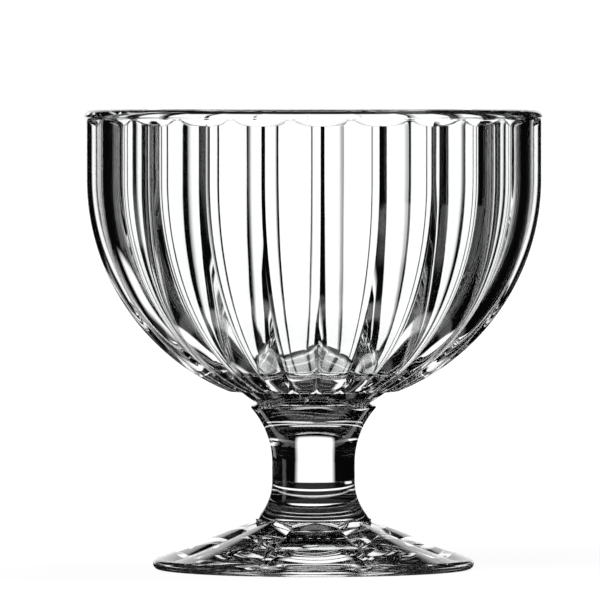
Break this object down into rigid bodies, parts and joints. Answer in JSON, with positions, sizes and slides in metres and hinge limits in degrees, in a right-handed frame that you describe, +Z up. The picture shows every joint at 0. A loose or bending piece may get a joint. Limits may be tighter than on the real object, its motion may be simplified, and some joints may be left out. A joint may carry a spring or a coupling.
{
  "type": "footed dessert glass",
  "caption": "Low, wide stemmed dessert glass in clear pressed glass, with a lobed bowl, a waisted round stem and a petalled foot.",
  "frame": {"origin": "middle of the foot, on the surface that the glass stands on", "axes": "+Z up along the axis of the glass; -Y is the front, where a valley between two lobes and the middle of a petal of the foot face"},
  "size_m": [0.106, 0.106, 0.106],
  "materials": {
    "clear_glass": "fire-polished clear pressed glass"
  },
  "bodies": {
    "root": {"bowl": "clear_glass", "joining_disc": "clear_glass", "stem": "clear_glass", "foot": "clear_glass"}
  },
  "joints": []
}
